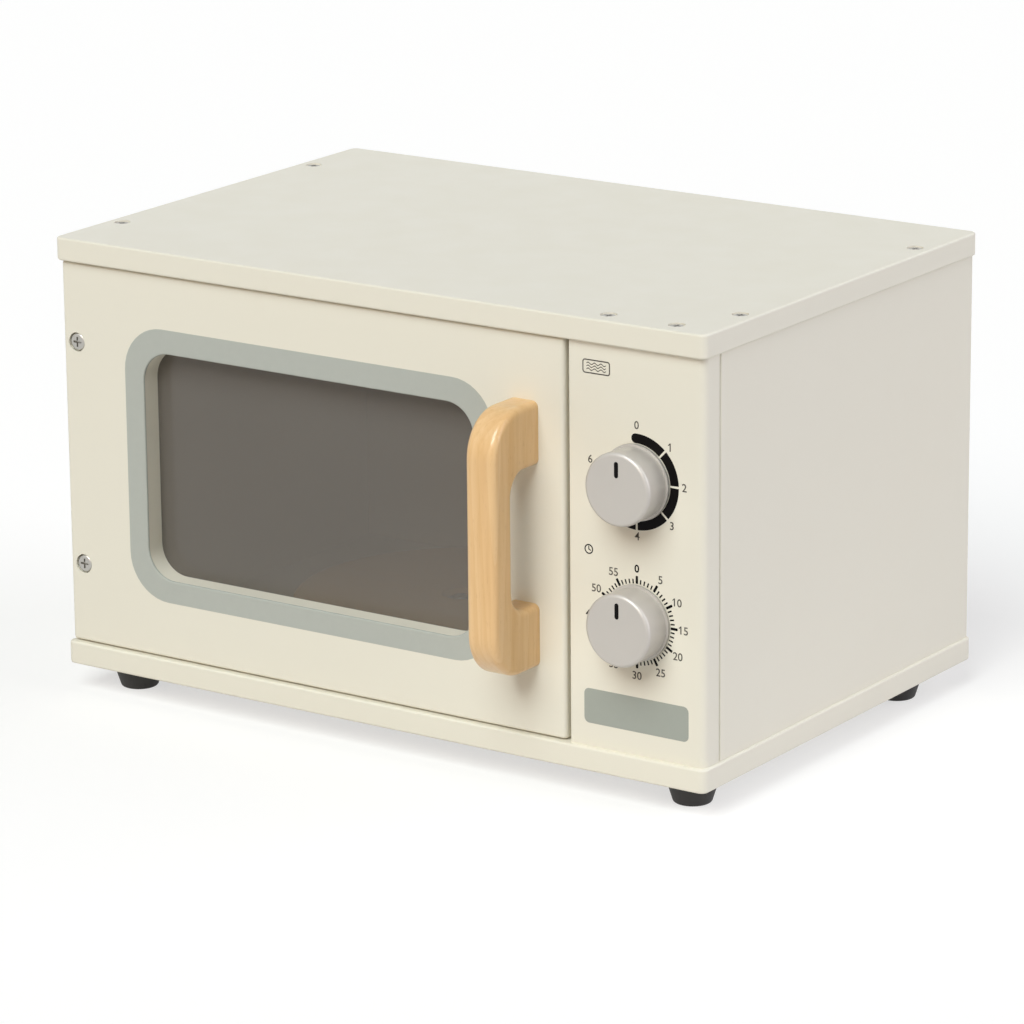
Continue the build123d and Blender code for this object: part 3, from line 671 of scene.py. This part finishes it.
class OVEN_OT_finish_nylon(bpy.types.Operator):
    """Finish the nylon bushes, pawls and click wheels"""
    bl_idname = "oven.finish_nylon"
    bl_label = "Nylon Parts"

    def execute(self, context):
        dress(moulded("nylon_skin", context.scene.oven_colours.nylon, roughness=0.42,
                      texture=1500.0, depth=0.02 * MM),
              "lower_hinge_bush", "upper_hinge_bush", "turntable_bush", "power_dial_bush",
              "time_dial_bush", "power_click_pawl", "time_click_pawl", "power_click_wheel",
              "time_click_wheel")
        return {"FINISHED"}


class OVEN_OT_window_ring(bpy.types.Operator):
    """Print the grey band round the window, over the edge of the opening"""
    bl_idname = "oven.window_ring"
    bl_label = "Window Ring"

    def execute(self, context):
        prints = context.scene.oven_prints
        lap, rim = prints.pane_lap, prints.window_round
        left, right = PANE_LOW.x + lap, PANE_HIGH.x - lap
        low, high = PANE_LOW.z + lap, PANE_HIGH.z - lap

        def window(grow, depth):
            """A loop that follows the opening, grown outwards, at a depth behind the face."""
            outline = rounded_box(left - grow, right + grow, low - grow, high + grow,
                                  prints.window_radius + grow)
            return [(x, FACE + depth, z) for x, z in outline]

        def outside(depth):
            """A loop along the band's outer edge, at a depth behind the face."""
            outline = rounded_box(left - prints.ring_side, right + prints.ring_side,
                                  low - prints.ring_bottom, high + prints.ring_top,
                                  prints.ring_radius)
            return [(x, FACE + depth, z) for x, z in outline]

        radius = rim + prints.ink_proud
        inside = 1.6 * rim      # how deep the band runs into the opening
        steps = 6
        loops = [outside(prints.ink_sunk), outside(-prints.ink_proud)]
        for step in range(steps + 1):
            turn = math.radians(90 * step / steps)
            loops.append(window(rim - radius * math.sin(turn), rim - radius * math.cos(turn)))
        loops.append(window(-prints.ink_proud, inside))
        loops.append(window(prints.ink_sunk, inside))
        count = len(loops[0])
        faces = []
        for row in range(len(loops)):
            here, there = count * row, count * ((row + 1) % len(loops))
            for index in range(count):
                after = (index + 1) % count
                faces.append([here + index, here + after, there + after, there + index])
        ring = closed_shell("window_ring", [point for loop in loops for point in loop], faces)
        fit(ring, "door", ink("ring_ink", context.scene.oven_colours.ring_ink))
        return {"FINISHED"}


class OVEN_OT_badge(bpy.types.Operator):
    """Print the plain grey plate below the dials"""
    bl_idname = "oven.badge"
    bl_label = "Plain Badge"

    def execute(self, context):
        prints, colours = context.scene.oven_prints, context.scene.oven_colours
        across, up = prints.badge_width / 2, prints.badge_height / 2
        badge = Print(prints)
        badge.patch(rounded_box(-across, across, -up, up, prints.badge_corner))
        place = (PANEL_MIDDLE - prints.badge_shift, FACE, PANEL_LOW.z + prints.badge_rise)
        fit(badge.piece("badge", place), "cabinet",
            ink("badge_ink", colours.badge_ink))
        return {"FINISHED"}


class OVEN_OT_power_scale(bpy.types.Operator):
    """Print the power dial's black band and its figures"""
    bl_idname = "oven.power_scale"
    bl_label = "Power Scale"

    def execute(self, context):
        prints, colours = context.scene.oven_prints, context.scene.oven_colours
        inner, outer = prints.band_inner, prints.band_outer
        middle, half = (inner + outer) / 2, (outer - inner) / 2
        gap = math.degrees(prints.band_gap / middle) / 2
        stops = [-1.5, 43, 88.7, 132.8, 180, 225, 285]      # degrees clockwise from the top
        steps = 14
        band = Print(prints)
        for start, end in zip(stops, stops[1:]):
            first = start if start == stops[0] else start + gap
            last = end if end == stops[-1] else end - gap
            lines = [[on_dial(radius, first + (last - first) * step / steps)
                      for step in range(steps + 1)] for radius in (inner, outer)]
            band.strip(*lines)
        for clockwise, side in ((stops[0], 180), (stops[-1], 0)):
            turn = side - clockwise
            band.patch(arc(on_dial(middle, clockwise), half, turn - 90, turn + 90, 10))
        place = (PANEL_MIDDLE, FACE, DIALS["power"])
        fit(band.piece("power_band", place), "cabinet",
            ink("band_ink", colours.mark_ink, roughness=0.42))
        figures = Print(prints)
        for text, clockwise, radius in (("0", 0, 24.4), ("1", 44, 23.8), ("2", 88, 23.5),
                                        ("3", 133.5, 23.9), ("4", 179.5, 23.4), ("5", 225, 23.8),
                                        ("6", 286, 24.0)):
            figures.figure(text, prints.figure_height, on_dial(radius * MM, clockwise),
                           prints.figure_weight)
        fit(figures.piece("power_figures", place), "cabinet",
            ink("power_figure_ink", colours.figure_ink))
        return {"FINISHED"}


class OVEN_OT_time_scale(bpy.types.Operator):
    """Print the time dial's sixty ticks and its figures"""
    bl_idname = "oven.time_scale"
    bl_label = "Time Scale"

    def execute(self, context):
        prints, colours = context.scene.oven_prints, context.scene.oven_colours
        place = (PANEL_MIDDLE, FACE, DIALS["time"])
        black = ink("tick_ink", colours.mark_ink, roughness=0.42)
        figure_count = 12
        every = prints.tick_count // figure_count
        flat = grown(tick_tree(), {
            "Count": prints.tick_count, "Long Every": every, "Inner Radius": prints.tick_inner,
            "Long Length": prints.tick_long, "Long Width": prints.tick_wide,
            "Short Length": prints.tick_short, "Short Width": prints.tick_narrow,
            "Thickness": prints.ink_proud + prints.ink_sunk, "Ink": black})
        lift = prints.ink_proud - max(vertex.co.z for vertex in flat.vertices)
        flat.transform(Matrix.Translation((0.0, 0.0, lift)))
        ticks = Print(prints)
        ticks.mesh(flat)
        fit(ticks.piece("time_ticks", place), "cabinet", black)
        figures = Print(prints)
        for step in range(1, figure_count):
            spot = on_dial(prints.figure_radius, 360 * step / figure_count)
            figures.figure(str(every * step), prints.figure_height, spot, prints.figure_weight)
        fit(figures.piece("time_figures", place), "cabinet",
            ink("time_figure_ink", colours.figure_ink))
        zero = Print(prints)
        zero.figure("0", prints.figure_height, on_dial(prints.figure_radius, 0),
                    prints.zero_weight)
        fit(zero.piece("time_zero", place), "cabinet",
            ink("zero_ink", colours.mark_ink))
        return {"FINISHED"}


class OVEN_OT_panel_marks(bpy.types.Operator):
    """Print the framed heat waves and the small clock on the control panel"""
    bl_idname = "oven.panel_marks"
    bl_label = "Panel Marks"

    def execute(self, context):
        prints, colours = context.scene.oven_prints, context.scene.oven_colours
        waves = Print(prints)
        across, up, line = prints.frame_width / 2, prints.frame_height / 2, prints.frame_line
        outer = rounded_box(-across, across, -up, up, prints.frame_corner)
        inner = rounded_box(line - across, across - line, line - up, up - line,
                            prints.frame_corner - line)
        waves.strip(inner, outer, closed=True)
        steps, crests = 36, 3
        half = prints.wave_line / 2
        for row in (-1, 0, 1):
            wave = []
            for step in range(steps + 1):
                share = step / steps
                swing = prints.wave_swing * math.sin(2 * crests * math.pi * share)
                wave.append(((share - 0.5) * prints.wave_length, row * prints.wave_pitch + swing))
            waves.strip([(u, v - half) for u, v in wave], [(u, v + half) for u, v in wave])
        place = (PANEL_MIDDLE - prints.frame_shift, FACE, PANEL_HIGH.z - prints.frame_drop)
        fit(waves.piece("heat_waves", place), "cabinet",
            ink("wave_ink", colours.figure_ink))

        clock = Print(prints)
        middle = (0.0, 0.0)
        sides = 60
        clock.strip(*(arc(middle, radius, 0, 360 - 360 / sides, sides - 1)
                      for radius in (prints.clock_radius - prints.clock_line, prints.clock_radius)),
                    closed=True)
        minute_tip, hour_tip = (0.0, 1.25 * MM), (0.85 * MM, -0.45 * MM)
        for tip in (minute_tip, hour_tip):
            clock.patch(capsule(middle, tip, prints.clock_hand / 2, 6))
        place = (PANEL_MIDDLE - prints.clock_shift, FACE, DIALS["time"] + prints.clock_rise)
        fit(clock.piece("clock_mark", place), "cabinet",
            ink("clock_ink", colours.mark_ink))
        return {"FINISHED"}


class OVEN_OT_pointers(bpy.types.Operator):
    """Print a pointer line on each knob"""
    bl_idname = "oven.pointers"
    bl_label = "Pointer Lines"

    def execute(self, context):
        prints, colours = context.scene.oven_prints, context.scene.oven_colours
        radius = prints.pointer_width / 2
        for dial, height in DIALS.items():
            pointer = Print(prints)
            pointer.patch(capsule((0.0, prints.pointer_inner + radius),
                                  (0.0, prints.pointer_outer - radius), radius))
            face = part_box(dial + "_knob")[0].y
            fit(pointer.piece(dial + "_pointer", (PANEL_MIDDLE, face, height)), dial + "_dial",
                ink(dial + "_pointer_ink", colours.mark_ink, roughness=0.4))
        return {"FINISHED"}


# ---------------------------------------------------------------- floor, light and camera
def seen_share(tree):
    """1 for what the camera, a gloss or clear glass sees, and 0 for light that falls on things."""
    path = add_node(tree, "ShaderNodeLightPath").outputs
    total = path["Is Camera Ray"]
    for name in ("Is Glossy Ray", "Is Transmission Ray"):
        total = add_node(tree, "ShaderNodeMath", {0: total, 1: path[name]},
                         operation="MAXIMUM").outputs[0]
    return total


def floor_finish(tone, share, lift):
    """Matt pale floor. The camera sees a share of its lit tone on a lift, so shadows stay soft."""
    finish = Finish("studio_floor")
    seen = seen_share(finish.tree)
    cover = finish.blend(shade(tone, 0.995), tone, finish.noise(1.2, 2.0))
    cover = finish.blend(cover, shade(tone, share), seen)
    finish.set(Base_Color=cover, Roughness=0.9, Specular_IOR_Level=0.0)
    level = finish.add("ShaderNodeMath", {0: seen, 1: lift}, operation="MULTIPLY").outputs[0]
    glow = finish.add("ShaderNodeEmission", {"Color": (1.0, 1.0, 1.0), "Strength": level})
    both = finish.add("ShaderNodeAddShader", {0: finish.shader.outputs[0], 1: glow.outputs[0]})
    feed(finish.tree, finish.tree.nodes["Material Output"].inputs["Surface"], both.outputs[0])
    return finish.material


def outwards(azimuth, elevation):
    """The way out from the oven, to the right of the front and above the floor, in radians."""
    level = math.cos(elevation)
    return Vector((math.sin(azimuth) * level, -math.cos(azimuth) * level, math.sin(elevation)))


def soft_lamp(name, strength, tint, azimuth, elevation, spread):
    """A distant soft lamp, its angles in degrees."""
    lamp = bpy.data.lights.new(name, "SUN")
    lamp.energy = strength
    lamp.color = tint
    lamp.angle = math.radians(spread)
    holder = bpy.data.objects.new(name, lamp)
    away = outwards(math.radians(azimuth), math.radians(elevation))
    holder.rotation_euler = away.to_track_quat("Z", "Y").to_euler()
    holder.location = away * LAMP_DISTANCE
    bpy.context.scene.collection.objects.link(holder)


class OVEN_OT_stage(bpy.types.Operator):
    """Set the floor, the surround, the lamps and the camera"""
    bl_idname = "oven.stage"
    bl_label = "Studio Stage"

    def execute(self, context):
        scene, studio = context.scene, context.scene.oven_studio
        bpy.ops.mesh.primitive_grid_add(x_subdivisions=8, y_subdivisions=8,
                                        size=studio.floor_size)
        floor = context.active_object
        floor.name = "studio_floor"
        floor.data.materials.append(floor_finish(scene.oven_colours.floor, studio.floor_share,
                                                studio.floor_lift))

        world = bpy.data.worlds.new("studio_surround")
        world.use_nodes = True
        tree = world.node_tree
        light = tree.nodes["Background"]
        feed(tree, light.inputs["Color"], (0.97, 0.99, 1.0))
        feed(tree, light.inputs["Strength"], studio.surround)
        seen = add_node(tree, "ShaderNodeBackground", {"Color": (1.0, 1.0, 1.0),
                                                       "Strength": studio.backdrop})
        either = add_node(tree, "ShaderNodeMixShader", {
            "Fac": seen_share(tree), 1: light.outputs[0], 2: seen.outputs[0]})
        feed(tree, tree.nodes["World Output"].inputs["Surface"], either.outputs[0])
        scene.world = world

        soft_lamp("high_lamp", studio.high, tint=(0.90, 0.98, 1.0),
                  azimuth=5.0, elevation=47.0, spread=40.0)
        soft_lamp("low_lamp", studio.low, tint=(1.0, 0.55, 0.32),
                  azimuth=0.0, elevation=24.0, spread=40.0)
        soft_lamp("side_lamp", studio.side, tint=(0.90, 0.89, 1.0),
                  azimuth=118.0, elevation=24.0, spread=60.0)

        camera = bpy.data.objects.new("camera", bpy.data.cameras.new("camera"))
        camera.data.lens = studio.lens
        camera.data.sensor_width = 36.0
        camera.data.clip_start, camera.data.clip_end = 0.05, 60.0
        turn, lean = studio.azimuth, studio.roll
        back = outwards(turn, studio.elevation)
        level = Vector((math.cos(turn), math.sin(turn), 0.0))
        upright = back.cross(level)
        right = level * math.cos(lean) + upright * math.sin(lean)
        up = upright * math.cos(lean) - level * math.sin(lean)
        placed = Matrix((right, up, back)).transposed().to_4x4()
        placed.translation = Vector(studio.target) + back * studio.distance
        camera.matrix_world = placed
        scene.collection.objects.link(camera)
        scene.camera = camera
        scene.view_settings.view_transform = "Standard"
        return {"FINISHED"}


# ---------------------------------------------------------------- sidebar
STEPS = (OVEN_OT_paint_boards, OVEN_OT_finish_beech, OVEN_OT_finish_pane, OVEN_OT_finish_knobs,
         OVEN_OT_finish_feet, OVEN_OT_finish_fittings, OVEN_OT_finish_nylon, OVEN_OT_window_ring,
         OVEN_OT_badge, OVEN_OT_power_scale, OVEN_OT_time_scale, OVEN_OT_panel_marks,
         OVEN_OT_pointers, OVEN_OT_stage)


class OVEN_PT_sidebar(bpy.types.Panel):
    """Toy microwave oven"""
    bl_idname = "OVEN_PT_sidebar"
    bl_label = "Toy Oven"
    bl_space_type = "VIEW_3D"
    bl_region_type = "UI"
    bl_category = "Toy Oven"

    def draw(self, context):
        for step in STEPS:
            self.layout.operator(step.bl_idname)
        for group in (context.scene.oven_colours, context.scene.oven_prints,
                      context.scene.oven_studio):
            column = self.layout.column()
            for name in group.bl_rna.properties.keys():
                if name not in ("rna_type", "name"):
                    column.prop(group, name)


GROUPS = {"oven_colours": OvenColours, "oven_prints": OvenPrints, "oven_studio": OvenStudio}


def register():
    for part in (*GROUPS.values(), *STEPS, OVEN_PT_sidebar):
        bpy.utils.register_class(part)
    for name, group in GROUPS.items():
        setattr(bpy.types.Scene, name, PointerProperty(type=group))


def unregister():
    for name in GROUPS:
        delattr(bpy.types.Scene, name)
    for part in reversed((*GROUPS.values(), *STEPS, OVEN_PT_sidebar)):
        bpy.utils.unregister_class(part)


def main():
    """Builds the whole scene."""
    register()
    bpy.ops.oven.paint_boards()
    bpy.ops.oven.finish_beech()
    bpy.ops.oven.finish_pane()
    bpy.ops.oven.finish_knobs()
    bpy.ops.oven.finish_feet()
    bpy.ops.oven.finish_fittings()
    bpy.ops.oven.finish_nylon()
    bpy.ops.oven.window_ring()
    bpy.ops.oven.badge()
    bpy.ops.oven.power_scale()
    bpy.ops.oven.time_scale()
    bpy.ops.oven.panel_marks()
    bpy.ops.oven.pointers()
    bpy.ops.oven.stage()


if __name__ == "__main__":
    main()
